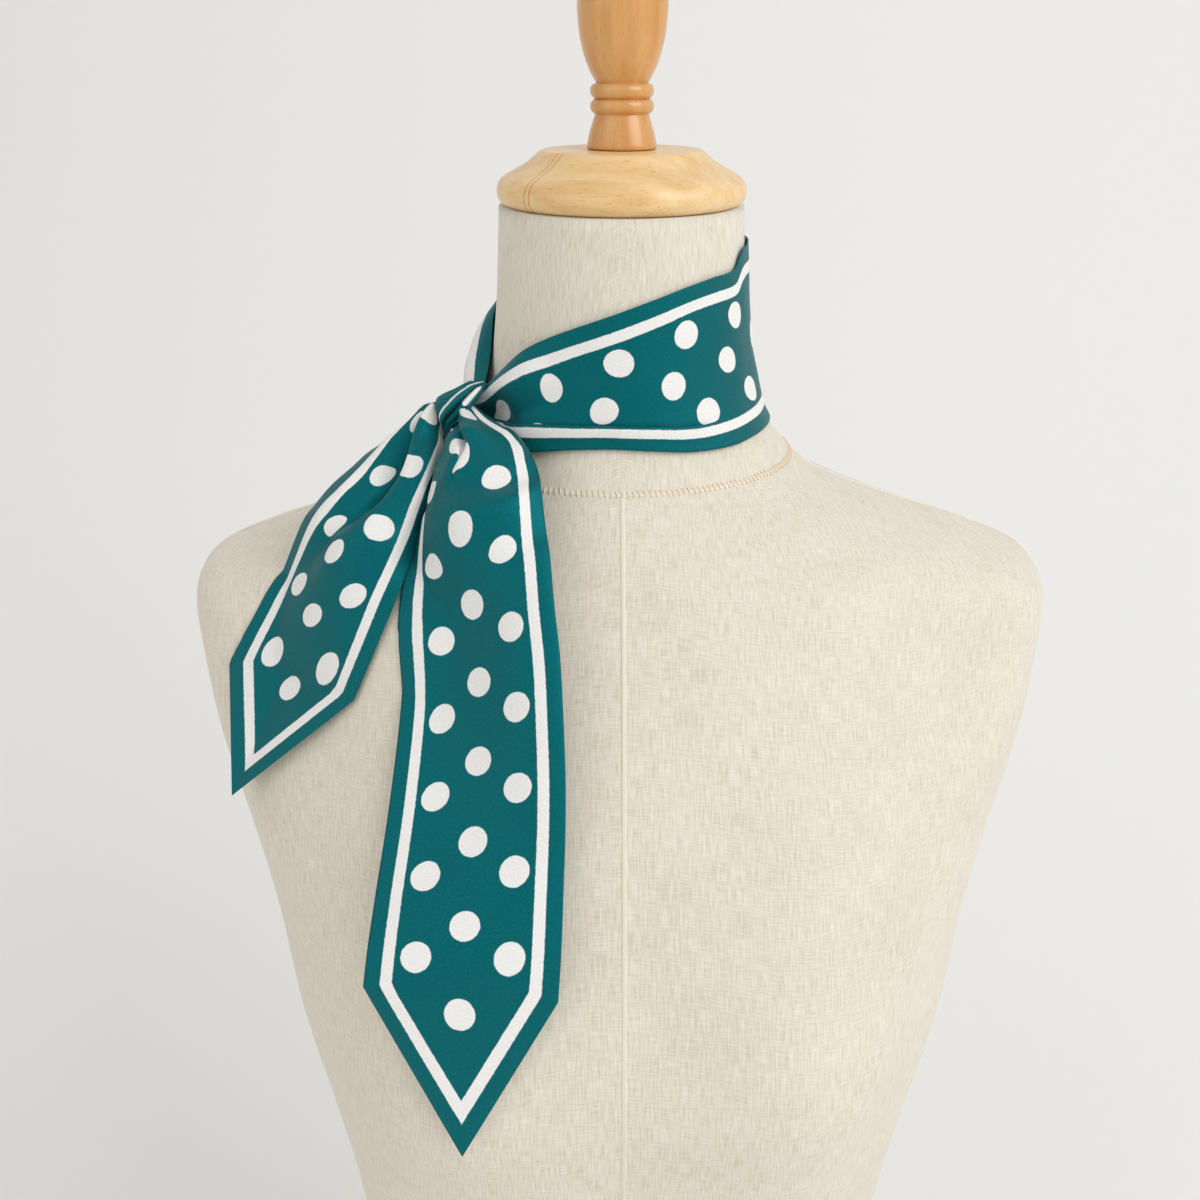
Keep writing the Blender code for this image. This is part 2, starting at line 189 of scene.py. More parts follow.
NeckRing = namedtuple("NeckRing", "height front side back")
NECK_RINGS = [NeckRing(*row) for row in (
    (-21, 67.5, 76.5, 60),
    (-12, 62.5, 69, 58),
    (-2, 58.9, 63, 57),
    (10, 56.6, 59.3, 56),
    (25, 54.9, 56, 54.7),
    (45, 53.5, 53.8, 53.5),
    (65, 52.6, 52.6, 52.6),
    (84.9, 51.6, 51.6, 51.6),
)]
NECK_POINT = Vector((0.0, 22.0, 640.0))  # on the neck's axis, level with the middle of the loop
NECK_TILT = math.radians(10.0)
NECK_UP = Vector((0.0, -math.sin(NECK_TILT), math.cos(NECK_TILT)))
NECK_FRONT = Vector((0.0, -math.cos(NECK_TILT), -math.sin(NECK_TILT)))
NECK_SIDE = Vector((1.0, 0.0, 0.0))
TORSO_SIDES = 144
RING_STEPS = 6
NECK_STEPS = 3
TOP_HEIGHT, TOP_RADIUS = 85.1, 46.0  # the cover's upper edge, drawn in under the cap


def on_curve(p, q, r, s, t):
    """A value between q and r, on a smooth curve through all four."""
    return 0.5 * (2 * q + (r - p) * t + (2 * p - 5 * q + 4 * r - s) * t * t + (3 * q - p - 3 * r + s) * t**3)


def smooth_rows(table, steps):
    """Rows of a table with steps - 1 more between each pair, on a curve through every row's values."""
    rows = []
    last = len(table) - 1
    for i in range(last):
        a, b, c, d = (table[max(0, min(last, k))] for k in (i - 1, i, i + 1, i + 2))
        for step in range(steps):
            rows.append(type(b)(*(on_curve(p, q, r, s, step / steps) for p, q, r, s in zip(a, b, c, d))))
    rows.append(table[last])
    return rows


def hump(distance, width):
    """1 where the distance is 0, and fading to 0 over the width on both sides."""
    return math.exp(-((distance / width) ** 2))


def torso_point(ring, angle):
    """A point of a section of the torso. The angle is 0 at +X and runs round by the back."""
    power = 2 / ring.square
    c, s = math.cos(angle), math.sin(angle)
    x = ring.half_width * math.copysign(abs(c) ** power, c)
    reach = abs(s) ** power
    y_end, z_end = (ring.y_front, ring.z_front) if s < 0 else (ring.y_back, ring.z_back)
    y = ring.y_side + (y_end - ring.y_side) * reach
    z = ring.z_side + (z_end - ring.z_side) * reach
    if s < 0:
        fade = min(1.0, 3 * reach)  # to nothing at the side seam
        y -= ring.chest * hump(abs(x) - CHEST_SPREAD, CHEST_WIDTH) * fade
        y += ring.hollow * hump(abs(x) - HOLLOW_SPREAD, HOLLOW_WIDTH) * fade
    return Vector((x, y, z))


def neck_radius(ring, angle):
    """The bare neck's radius in a section of it."""
    ahead = math.cos(angle)
    end = ring.front if ahead > 0 else ring.back
    return 1 / math.hypot(ahead / end, math.sin(angle) / ring.side)


def neck_place(angle, height, radius):
    """A point beside the neck. The angle is 0 at the front and a quarter turn at +X."""
    out = NECK_SIDE * math.sin(angle) + NECK_FRONT * math.cos(angle)
    return NECK_POINT + NECK_UP * height + out * radius


def quads(first, rows, width):
    """The faces of a grid of points, whose first point has this number."""
    corners = [first + i * width + j for i in range(rows - 1) for j in range(width - 1)]
    return [(corner, corner + 1, corner + width + 1, corner + width) for corner in corners]


def new_object(name, data):
    obj = bpy.data.objects.new(name, data)
    bpy.context.scene.collection.objects.link(obj)
    return obj


def mesh_object(name, points, faces, material):
    mesh = bpy.data.meshes.new(name)
    mesh.from_pydata(points, [], faces)
    mesh.materials.append(material)
    mesh.shade_smooth()
    return new_object(name, mesh)


def grid_mesh(name, rows, flat_rows, material):
    """A smooth mesh on rows of points in mm, with each point's place on the flat cloth as its UV."""
    points = [point * MM for row in rows for point in row]
    obj = mesh_object(name, points, quads(0, len(rows), len(rows[0])), material)
    flat = [place for row in flat_rows for place in row]
    layer = obj.data.uv_layers.new(name="flat_cloth")
    for loop, data in zip(obj.data.loops, layer.data):
        data.uv = [value * MM for value in flat[loop.vertex_index]]
    return obj


def maths(tree, operation, *values):
    """One step of arithmetic in a material."""
    return add_node(tree, "Math", {"operation": operation}, dict(enumerate(values))).outputs[0]


# Unbleached linen, plain weave, about 14 threads to the centimetre and drawn at that size. Its slubs give
# the eye short fine streaks, more down the cloth than across it, pale straw and grey by turns.
linen, tree, shader = new_material(
    "unbleached_linen", Roughness=0.9, IOR=1.45, Sheen_Weight=0.2, Sheen_Roughness=0.6
)
uv = add_node(tree, "UVMap", {"uv_map": "flat_cloth"}).outputs["UV"]
threads = []
for slubs in ((150, 1700, 1), (1900, 110, 1)):  # to the metre: those that run across, then those down
    threads.append(add_noise(tree, stretched(tree, uv, slubs), 1.0, 2.0, dimensions="2D"))
woven = maths(tree, "MULTIPLY_ADD", threads[0], 0.6, threads[1])
cloud = add_noise(tree, uv, 30.0, 2.0, dimensions="2D")
tone = maths(tree, "MULTIPLY_ADD", cloud, 0.2, woven)
half_tone = maths(tree, "MULTIPLY", tone, 0.556)  # the sum of the shares is 1.8, so 0.5 is the middle
linen_colour = add_ramp(tree, half_tone, [(0.34, "#CEC4B0"), (0.66, "#E8E0D1"), (0.5, "#DDD5C4")])
tree.links.new(linen_colour, shader.inputs["Base Color"])
add_bump(tree, shader, woven, 0.3, 0.0002)


def laid_flat(rows, middle):
    """Each point's distances along the cloth, round from the middle column and down from the first row."""
    flat, down = [], [0.0] * len(rows[0])
    for i, row in enumerate(rows):
        if i:
            down = [d + (p - q).length for d, p, q in zip(down, row, rows[i - 1])]
        around = [0.0]
        for p, q in zip(row, row[1:]):
            around.append(around[-1] + (q - p).length)
        flat.append([(a - around[middle], d) for a, d in zip(around, down)])
    return flat


turns = [-1.5 * math.pi + 2 * math.pi * i / TORSO_SIDES for i in range(TORSO_SIDES + 1)]
body_rings = smooth_rows(TORSO_RINGS, RING_STEPS)
torso_rows = [[torso_point(ring, turn) for turn in turns] for ring in body_rings]
neck_rings = smooth_rows(NECK_RINGS, NECK_STEPS)
torso_rows += [
    [neck_place(turn + math.pi / 2, ring.height, neck_radius(ring, turn + math.pi / 2)) for turn in turns]
    for ring in neck_rings
]
torso_rows.append([neck_place(turn + math.pi / 2, TOP_HEIGHT, TOP_RADIUS) for turn in turns])
torso = grid_mesh("linen_torso", torso_rows, laid_flat(torso_rows, TORSO_SIDES // 2), linen)
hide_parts("form_torso")
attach(torso, "root")

torso_tree = BVHTree.FromPolygons(
    [vert.co / MM for vert in torso.data.vertices], [tuple(face.vertices) for face in torso.data.polygons]
)


# ------------------------ the cover's seams
# The linen's pieces meet at the neck's foot and down the front, back and sides, each seam a pair of
# narrow pressed lips. The neck's piece is whipped on by hand with short slanting stitches.

# Across the seam and out from the cloth.
SEAM_PROFILE = [
    (-0.95, -0.2), (-0.7, 0.25), (-0.2, 0.42), (0, 0.22), (0.2, 0.42), (0.7, 0.25), (0.95, -0.2),
]
STITCH_EVERY, STITCH_REACH, STITCH_SLANT, SLANT_WANDER = 2.3, 1.9, 0.5, 0.3
THREAD_RADIUS, THREAD_STANDS, THREAD_DIVES = 0.21, 0.62, 0.9


def along_seam(path):
    """The path's points with the directions along it, out of the cloth and across it."""
    places = []
    for i, point in enumerate(path):
        ahead = (path[min(i + 1, len(path) - 1)] - path[max(i - 1, 0)]).normalized()
        out = torso_tree.find_nearest(point)[1]
        places.append((point, ahead, out, ahead.cross(out).normalized()))
    return places


def strips_mesh(name, strips, material):
    """One smooth mesh of several grids of points in mm."""
    points, faces = [], []
    for rows in strips:
        faces += quads(len(points), len(rows), len(rows[0]))
        points += [point * MM for row in rows for point in row]
    obj = mesh_object(name, points, faces, material)
    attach(obj, "root")
    return obj


neck_foot = torso_rows[len(body_rings)]
seam_paths = [neck_foot]
for column in (0, TORSO_SIDES // 4, TORSO_SIDES // 2, 3 * TORSO_SIDES // 4):
    seam_paths.append([row[column] for row in torso_rows[: len(body_rings) + 1]])
seam_paths.append([row[0] for row in torso_rows[len(body_rings):-1]])
# Pressed linen, one even colour paler than the cloth and without its slubs: the paleness is a painted
# highlight, the light that the raised lips catch, so they read as pale, even lines.
seam_linen_painted_highlight, _, _ = new_material("seam_linen_painted_highlight", Roughness=0.9, Base_Color=hex_colour("#E9E0CF"))
# The seams' lips wear the painted highlight's paler linen.
strips_mesh(
    "cover_seams",
    [
        [[point + side * a + out * h for a, h in SEAM_PROFILE] for point, _, out, side in along_seam(path)]
        for path in seam_paths
    ],
    seam_linen_painted_highlight,
)

thread_round = [math.radians(60 * k) for k in range(7)]
stitches, walked = [], 0.0
foot = along_seam(neck_foot)
for (point, ahead, out, across), (end, *_) in zip(foot, foot[1:]):
    length = (end - point).length
    while walked < length:
        middle = point.lerp(end, walked / length)
        slant = STITCH_SLANT + SLANT_WANDER * noise.noise(middle)
        tube = []
        for s in (-1.0, -0.8, -0.3, 0.3, 0.8, 1.0):
            centre = middle - across * STITCH_REACH * s - ahead * slant * s
            centre += out * (THREAD_STANDS - THREAD_DIVES * s**6)
            tube.append([
                centre + ahead * THREAD_RADIUS * math.cos(r) + out * THREAD_RADIUS * math.sin(r)
                for r in thread_round
            ])
        stitches.append(tube)
        walked += STITCH_EVERY
    walked -= length
# Waxed linen thread: warmer and darker than the cloth, so that each stitch stands out on it.
thread, _, _ = new_material("waxed_linen_thread", Roughness=0.7, Base_Color=hex_colour("#EFD9BB"))
strips_mesh("neck_stitches", stitches, thread)


# ------------------------ neck cap
# The lid that the cover's upper edge is tacked under: beech boards glued side to side, turned on a
# lathe to a flat top, a hollow shoulder and a round rim, and varnished with a thin satin coat.

CAP_PROFILE = [
    (0, 22), (31.5, 22), (32.8, 21.9), (34.2, 21.3), (36.5, 19.4), (39.5, 17), (44, 14.4),
    (48.6, 12), (50.6, 10.4), (51.8, 8.3), (52.3, 6), (52.1, 3.9), (51.2, 2), (49.6, 0.7),
    (47.5, 0), (0, 0),
]
CAP_AT = 85.2  # along the neck's axis, from NECK_POINT
LATHE_STEPS = 128


def turned(name, profile, height, material):
    """A profile of radius and height turned round the neck's axis, standing at this height on it."""
    mesh = bpy.data.meshes.new(name)
    points = [(radius * MM, 0.0, rise * MM) for radius, rise in profile]
    mesh.from_pydata(points, [(i, i + 1) for i in range(len(points) - 1)], [])
    obj = new_object(name, mesh)
    obj.location = (NECK_POINT + NECK_UP * height) * MM
    obj.rotation_euler = (NECK_TILT, 0.0, 0.0)
    screw = obj.modifiers.new("turned", "SCREW")
    screw.axis = "Z"
    screw.steps = screw.render_steps = LATHE_STEPS
    screw.use_merge_vertices = True
    screw.merge_threshold = 0.00001
    screw.use_smooth_shade = True
    graph = bpy.context.evaluated_depsgraph_get()
    solid = bpy.data.meshes.new_from_object(obj.evaluated_get(graph))
    obj.modifiers.clear()
    obj.data = solid
    solid.materials.append(material)
    solid.shade_smooth()
    solid.set_sharp_from_angle(angle=math.radians(50))
    return obj


def rounded(profile, steps):
    """A profile's bends rounded by a curve through its points; its first and last runs stay straight."""
    Point = namedtuple("Point", "radius rise")
    middle = smooth_rows([Point(*pair) for pair in profile[1:-1]], steps)
    return [profile[0], *[tuple(point) for point in middle], profile[-1]]


# Varnished beech: yellow and bright, its grain level and nearly even under the thin satin coat.
cap_wood, tree, shader = turned_wood(
    "varnished_beech", [(0.3, "#DDB273"), (0.7, "#EFCF9C"), (0.5, "#E9C388")], (0.0, 0.0, 0.25), 0.28,
    Roughness=0.36, IOR=1.5, Coat_Weight=0.25, Coat_Roughness=0.25,
)

# Two blanks make the board: their glue joint, with a thin strip in it, shows as two fine darker lines.
JOINT_AT, JOINT_HALF = -2.0, 1.9  # where x - y is on the cap, and half the strip's width, in mm
place = add_node(tree, "TexCoord").outputs["Object"]
axes = add_node(tree, "SeparateXYZ", {}, {0: place}).outputs
diagonal = maths(tree, "SUBTRACT", axes["X"], axes["Y"])
from_joint = maths(tree, "MULTIPLY_ADD", diagonal, 1000.0, -JOINT_AT)
from_glue = maths(tree, "SUBTRACT", maths(tree, "ABSOLUTE", from_joint), JOINT_HALF)
glue = add_step(tree, maths(tree, "ABSOLUTE", from_glue), 0.1, 1.0, to_low=0.7, to_high=0.0)
bare_wood = shader.inputs["Base Color"].links[0].from_socket
jointed = add_mix(tree, glue, bare_wood, hex_colour("#D8A05C"), "MULTIPLY")
tree.links.new(jointed, shader.inputs["Base Color"])
cap = turned("varnished_cap", rounded(CAP_PROFILE, 3), CAP_AT, cap_wood)
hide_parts("form_neck_cap")
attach(cap, "root")


# ------------------------ finial
# The knob that the form is lifted by: a darker, redder hardwood, turned with two beads over a
# flared foot, screwed down on the cap, and polished with shellac until it shines softly.

FINIAL_PROFILE = [
    (0, 76), (3, 75.9), (7.5, 74.8), (11.8, 72), (15.2, 67.8), (17.3, 62.8), (18.2, 57), (18.2, 52),
    (17.2, 42.5), (14.9, 33.8), (12.3, 28.2), (10.9, 25.9), (10.8, 25.3),
    (11.9, 25), (12.8, 23.9), (13.1, 22.4), (12.8, 20.9), (11.9, 19.8), (11.2, 19.4), (11.9, 19),
    (12.8, 18), (13.1, 16.5), (12.8, 15), (11.9, 13.9), (11.2, 13.5),
    (11.5, 12.3), (12.3, 9.8), (13.4, 6.2), (14.1, 3.2), (14.5, 1.2), (14.3, 0.2), (13.9, 0), (0, 0),
]
FINIAL_AT = CAP_AT + 22.3  # on the cap's flat top

# Shellacked hardwood: orange brown, with an upright grain that hardly shows and a soft shine.
finial_wood, _, _ = turned_wood(
    "shellacked_hardwood", [(0.3, "#C98C48"), (0.7, "#DCA664"), (0.5, "#D49B57")],
    (0.0, math.radians(90), 0.0), 0.16, Roughness=0.32, IOR=1.5, Coat_Weight=0.4, Coat_Roughness=0.2,
)
finial = turned("shellacked_finial", rounded(FINIAL_PROFILE, 2), FINIAL_AT, finial_wood)
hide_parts("form_finial")
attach(finial, "root")


# ------------------------ the scarf's silk
# Printed silk twill, about 60 g to the square metre, two layers sewn face out and turned, so that both
# sides show the print: white spots on teal, and a white line inside a teal border that follows the edge.

SCARF_LENGTH, SCARF_WIDTH, POINT_LENGTH = 1022.0, 71.0, 57.0
BORDER, LINE = 6.2, 4.4  # the teal border at the edge, and the white line inside it
SPOT_RADIUS, SPOT_EVERY, SPOT_ASIDE = 5.65, 30.6, 17.0
MIDDLE_SPOT, SIDE_SPOT = 50.9, 69.9  # the first spots' places, from the front tail's tip
MIDDLE_CLEAR, SIDE_CLEAR = 38.0, 52.0  # no spot begins nearer to a tip than this
NO_SPOT = -50.0
PRINT_EDGE, PRINT_WANDER = 0.22, 0.35  # how far the colours bleed, and how far their edge wanders
RIB_TURN = 7.4  # radians for each mm along and across

# Twill is drawn three times too coarse, as diagonal ribs 0.6 mm apart. With a soft sheen at grazing
# angles and an even, half-matt gloss it gives the eye dense, slightly grainy silk, not plain satin.
silk, tree, shader = new_material(
    "printed_silk_twill", Roughness=0.5, IOR=1.5, Specular_IOR_Level=0.85,
    Sheen_Weight=0.03, Sheen_Roughness=0.35,
)

uv = add_node(tree, "UVMap", {"uv_map": "flat_cloth"}).outputs["UV"]
place = add_node(tree, "VectorMath", {"operation": "SCALE"}, {0: uv, "Scale": 1000.0}).outputs[0]
axes = add_node(tree, "SeparateXYZ", {}, {0: place}).outputs
along = axes["Y"]
aside = maths(tree, "ABSOLUTE", axes["X"])
from_far_tip = maths(tree, "SUBTRACT", SCARF_LENGTH, along)
from_tips = maths(tree, "MINIMUM", along, from_far_tip)

# How far inside its white line, and inside its nearest spots, each place lies.
point_side = math.hypot(POINT_LENGTH, SCARF_WIDTH / 2)
to_edge = maths(tree, "SUBTRACT", SCARF_WIDTH / 2, aside)
for from_tip in (along, from_far_tip):
    rising = maths(tree, "MULTIPLY", from_tip, SCARF_WIDTH / 2 / point_side)
    to_point = maths(tree, "MULTIPLY_ADD", aside, -POINT_LENGTH / point_side, rising)
    to_edge = maths(tree, "MINIMUM", to_edge, to_point)
off_line = maths(tree, "ABSOLUTE", maths(tree, "SUBTRACT", to_edge, BORDER + LINE / 2))
white_by = maths(tree, "SUBTRACT", LINE / 2, off_line)
off_side = maths(tree, "SUBTRACT", aside, SPOT_ASIDE)
for first, sideways, clear in ((MIDDLE_SPOT, aside, MIDDLE_CLEAR), (SIDE_SPOT, off_side, SIDE_CLEAR)):
    shifted = maths(tree, "ADD", along, SPOT_EVERY / 2 - first)
    step = maths(tree, "SUBTRACT", maths(tree, "FLOORED_MODULO", shifted, SPOT_EVERY), SPOT_EVERY / 2)
    squares = [maths(tree, "MULTIPLY", part, part) for part in (step, sideways)]
    in_spot = maths(tree, "SUBTRACT", SPOT_RADIUS, maths(tree, "SQRT", maths(tree, "ADD", *squares)))
    blank = maths(tree, "MULTIPLY", maths(tree, "LESS_THAN", from_tips, clear), NO_SPOT)
    white_by = maths(tree, "MAXIMUM", white_by, maths(tree, "ADD", in_spot, blank))
wander = maths(tree, "SUBTRACT", add_noise(tree, place, 0.55, 2.0, dimensions="2D"), 0.5)
white_by = maths(tree, "MULTIPLY_ADD", wander, PRINT_WANDER, white_by)
white = add_step(tree, white_by, -PRINT_EDGE, PRINT_EDGE)

grain = add_noise(tree, place, 1.1, 3.0, roughness=0.7, dimensions="2D")
teal = add_ramp(tree, grain, [(0.3, "#06494D"), (0.7, "#0A5B5F")])
chalk = add_ramp(tree, grain, [(0.3, "#E4E2DE"), (0.7, "#F0EEEB")])
tree.links.new(add_mix(tree, white, teal, chalk), shader.inputs["Base Color"])
# Dyed filaments reflect in their own colour: the gloss on the teal is teal, and on the white hardly there.
gloss = add_mix(tree, white, hex_colour("#2FE4F2"), hex_colour("#5A5A58"))
tree.links.new(gloss, shader.inputs["Specular Tint"])
diagonal = maths(tree, "MULTIPLY_ADD", axes["X"], RIB_TURN, maths(tree, "MULTIPLY", along, RIB_TURN))
relief = maths(tree, "MULTIPLY_ADD", maths(tree, "SINE", diagonal), 0.25, grain)
add_bump(tree, shader, relief, 0.3, 0.00012)


# ------------------------ the scarf's loop
# The stretch that goes once round the neck, from one side of the knot to the other. It lies flat behind
# and at the right, and towards the knot its lower edge is tucked up in one deep pleat, lip outside.

# Each row is a section across the cloth: its place along the scarf, the angles round the neck of its
# top edge, middle and bottom edge, the heights of its top edge, the pleat's lip and its bottom edge,
# the width hidden in the pleat, how far the cloth stands off the neck, how far its middle sinks in
# beside the knot, and how far its top edge's margin swings out from the neck to face forwards.
Across = namedtuple("Across", "along top mid low top_z lip_z low_z hidden off sink swing")
LOOP = [Across(*row) for row in (
    (757, -66, -68, -66.5, 9, 0.6, -2, 43, 10, 9, 0.6),
    (749, -60, -60, -58.5, 14, 0.6, -3, 40, 8.5, 11.5, 0.7),
    (741, -55, -53, -51.5, 20.3, 1.6, -5, 37.5, 6.5, 9.6, 0.7),
    (733, -49.5, -45, -44, 26.5, 2.6, -7, 34.5, 4.8, 2.6, 0.6),
    (724, -43, -36.5, -35, 32.4, 4.4, -7.2, 30, 3.1, 0.2, 0.42),
    (708.5, -34.5, -24.5, -20, 37.3, 5.3, -4.8, 24.3, 1.5, 0, 0.15),
    (693.5, -22.5, -10.2, -3, 42.4, 6, -3.9, 17.6, 0.9, 0, 0),
    (678.2, -5.5, 6, 12, 48.5, 5.6, -4.8, 12.5, 0.9, 0, 0),
    (662.9, 10.5, 20.1, 28, 53.8, 4.3, -6.5, 6.6, 0.9, 0, 0),
    (647.6, 27.5, 35, 46.5, 58.7, 3.9, -7, 1, 0.9, 0, 0),
    (632.3, 42, 49.7, 61, 61.2, 4.7, -6.4, 0, 0.9, 0, 0),
    (617, 57.5, 65, 78, 62.7, 5.6, -6, 0, 1, 0, 0),
    (609, 64.5, 73, 87, 68.5, 6.1, -6, 0, 1.2, 0, 0),
    (600, 73.5, 82, 95, 70.3, 6.5, -5.5, 0, 1.2, 0, 0),
    (573, 104, 109, 118, 71, 8.8, -3, 0, 1.2, 0, 0),
    (523, 157, 158, 161, 65.5, 7.8, -4.5, 0, 1, 0, 0),
    (478, 203, 202, 201, 60, 4.8, -8, 0, 1, 0, 0),
    (438, 243, 241, 239, 49.5, 2.3, -9, 8, 1.2, 0, 0.2),
    (415, 262, 259, 256, 40, 3, -7, 19, 0.9, 0, 0.6),
    (398, 275.5, 272, 269, 30.6, 4, -2, 33, 0.6, 0, 0.85),
    (385, 287, 285, 284, 20.6, 5.5, 1.5, 44, 1.6, 0, 0.9),
    (376, 295.5, 294.5, 294, 14.5, 6.2, 3, 51, 5.5, 0, 0.7),
)]
LIP = 12.0  # of the width shows below the pleat
MARGIN = 10.6  # the border and the line, from the top edge down
SILK_THICK = 0.55
PLEAT_STEP = 1.25  # from one layer of the pleat to the next
PLEAT_TURN = 0.45  # how sharply the pleat is pressed
PLEAT_FOLD = 8.0  # the widest that a fold of the pleat can be
SHALLOW_PLEAT = 5.0  # a pleat that hides less than this stands out less
LIP_SPREAD, SINK_SPREAD = 9.0, 0.28
SWING_BACK = 0.9  # how far the cloth below the margin comes back to the neck, for each mm
BROAD, NARROW = 0.5, 0.25  # how high the silk's broad and narrow ripples are
LOOSE, LEAST_OFF = 0.4, 0.8  # how far the cloth lies off the neck where nothing lifts it, and at least


def ease(x):
    """0 well before x = 0, 1 well after it."""
    return 1 / (1 + math.exp(-max(-40.0, min(40.0, x))))


def ease_sum(x, turn):
    """The running total of ease(x / turn)."""
    return turn * math.log1p(math.exp(min(40.0, x / turn))) if x / turn < 40 else x


def pleat(w, lip, hidden, turn, step):
    """Where a point w mm from the cloth's edge comes to lie: its distance across, and how far it stands
    out. The cloth turns back on itself at lip and forward again further in, and what is too wide for
    that fold is gathered up there."""
    if hidden < 0.01:
        return w, 0.0
    back = lip + hidden / 2
    share = min(1.0, PLEAT_FOLD / (hidden / 2))
    across = w - (1 + share) * ease_sum(w - lip, turn) + 2 * share * ease_sum(w - back, turn)
    across += (1 - share) * ease_sum(w - lip - hidden, turn)
    layers = ease((w - lip) / turn) + ease((w - back) / turn)
    return across, step * min(1.0, hidden / SHALLOW_PLEAT) * (2 - layers)


def wander_at(u, v, seed, size):
    """Soft unevenness from -1 to 1 over the cloth."""
    return noise.noise(Vector((u / size, v / size, seed)))


def neck_radius_at(angle, height):
    """The bare neck's radius at this height, from the sections below and above."""
    height = max(NECK_RINGS[0].height, min(NECK_RINGS[-1].height, height))
    low, high = next(pair for pair in zip(NECK_RINGS, NECK_RINGS[1:]) if height <= pair[1].height)
    share = (height - low.height) / (high.height - low.height)
    return neck_radius(low, angle) * (1 - share) + neck_radius(high, angle) * share


def widths_across(dense_from, dense_to, coarse, fine):
    """Distances from the cloth's edge for a section's points, closer together where the pleat is."""
    places, w = [], 0.0
    while w < SCARF_WIDTH - 1e-6:
        places.append(w)
        w += fine if dense_from <= w <= dense_to else coarse
    return places + [SCARF_WIDTH]


def loop_point(row, w):
    """A point of the loop, w mm from its lower edge along the cloth."""
    across, out = pleat(w, LIP, row.hidden, PLEAT_TURN, PLEAT_STEP)
    visible = SCARF_WIDTH - row.hidden
    f = across / visible
    if across < LIP:
        height = row.low_z + (row.lip_z - row.low_z) * across / LIP
    else:
        height = row.lip_z + (row.top_z - row.lip_z) * (across - LIP) / (visible - LIP)
    angle = row.low * (1 - 2 * f) * (1 - f) + row.mid * 4 * f * (1 - f) + row.top * f * (2 * f - 1)
    from_top = visible - across
    swung = row.swing * (min(from_top, MARGIN) - SWING_BACK * max(0.0, from_top - MARGIN))
    height += (row.top_z - height) * row.swing * hump(from_top, MARGIN)
    angle = math.radians(angle)
    near_lip = hump(across - LIP, LIP_SPREAD) if across < LIP else 1.0
    ripple = BROAD * wander_at(row.along, w, 3.1, 22.0) + NARROW * wander_at(row.along, w, 7.7, 9.0)
    stands = row.off + max(0.0, swung) - row.sink * hump(f - 0.5, SINK_SPREAD) + max(0.0, LOOSE + ripple)
    return neck_place(angle, height, neck_radius_at(angle, height) + max(LEAST_OFF, stands) + out * near_lip)


def hem_solid(obj):
    """Gives a sheet of silk its two layers' thickness."""
    wall = obj.modifiers.new("two_layers", "SOLIDIFY")
    wall.thickness = SILK_THICK * MM
    wall.offset = 0.0
    wall.use_even_offset = False


loop_widths = widths_across(dense_from=LIP - 3, dense_to=LIP + 26, coarse=1.4, fine=0.45)
loop_rows = smooth_rows(LOOP, 14)
loop = grid_mesh(
    "silk_loop",
    [[loop_point(row, w) for w in loop_widths] for row in loop_rows],
    [[(SCARF_WIDTH / 2 - w, row.along) for w in loop_widths] for row in loop_rows],
    silk,
)
hem_solid(loop)
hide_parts("scarf_neck_band", "scarf_return_stretch")
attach(loop, "root")


# ------------------------ the knot
# A half knot: one end passes over the other and up behind it, so that a stretch of silk drawn together
# in flutes comes tight across the front, and gathered layers fill out what is under it.

KNOT_CENTRE = Vector((-67.0, -16.0, 641.0))
KNOT_RUN = Vector((-0.594, 0.0, -0.804))  # down along the flutes
KNOT_ACROSS = Vector((-0.804, 0.0, 0.594))  # up to the wrap's outer edge
KNOT_OUT = Vector((0.0, -1.0, 0.0))

# The wrap's sections from behind its top to behind its bottom: where each is, where its outer and inner
# edges are, how far it stands out, and how deep its flutes are.
Band = namedtuple("Band", "run outer inner out flute")
WRAP_BANDS = [Band(*row) for row in (
    (-12.6, -1.8, -3, -8, 0.3),
    (-13.2, -1.4, -3.1, -3, 0.5),
    (-12.3, -0.4, -3.3, 1.4, 0.7),
    (-10.2, 1.7, -3.6, 4.6, 0.9),
    (-7, 3.3, -3.8, 6.8, 1),
    (-3, 4.6, -3.9, 8.4, 1),
    (1, 5.2, -3.9, 9.2, 1),
    (4.5, 5.5, -3.5, 8.9, 0.9),
    (7.8, 4.9, -2.5, 7.6, 0.8),
    (10.2, 2.7, -2.2, 5.4, 0.6),
    (12.6, 0.1, -2.6, 2, 0.4),
    (14.4, -2.1, -3.3, -2.5, 0.3),
    (14.2, -2.5, -3.5, -8, 0.3),
)]
# Its flutes from the outer edge to the inner: share of the way, place across the cloth, rise.
Flute = namedtuple("Flute", "share w rise")
FLUTES = [Flute(*row) for row in (
    (0, 7.2, -6), (0.02, 8, -3.4), (0.06, 9.2, -1.5), (0.11, 10.2, -0.4),
    (0.15, 10.8, 0.3), (0.22, 11.2, 1.1), (0.30, 11.5, 1.4), (0.35, 11.7, 0.4),
    (0.385, 11.8, -2), (0.42, 11.9, -4.4), (0.465, 12, -4.8), (0.50, 12.3, -2.4),
    (0.53, 14.6, -0.2), (0.59, 16.4, 0.9), (0.67, 18.8, 0.9), (0.74, 21, 0.5),
    (0.79, 22.6, -0.4), (0.825, 23.8, -0.8), (0.86, 24.9, 0), (0.90, 26.1, 0.3),
    (0.94, 27.2, -0.5), (0.975, 28.2, -2.4), (1, 29.4, -5.5),
)]
BAND_STEPS, FLUTE_STEPS = 10, 4
FLAT_FROM, FLAT_TO = 0.2, 0.96  # the flutes between these flatten out behind the knot, the edges' not
WRAP_SPOT_RUN, WRAP_SPOT_ALONG = -7.0, 773.7  # where one of the print's spots shows on it
WRAP_STRETCH = 1.15  # of scarf along the flutes for each mm of the wrap's own run

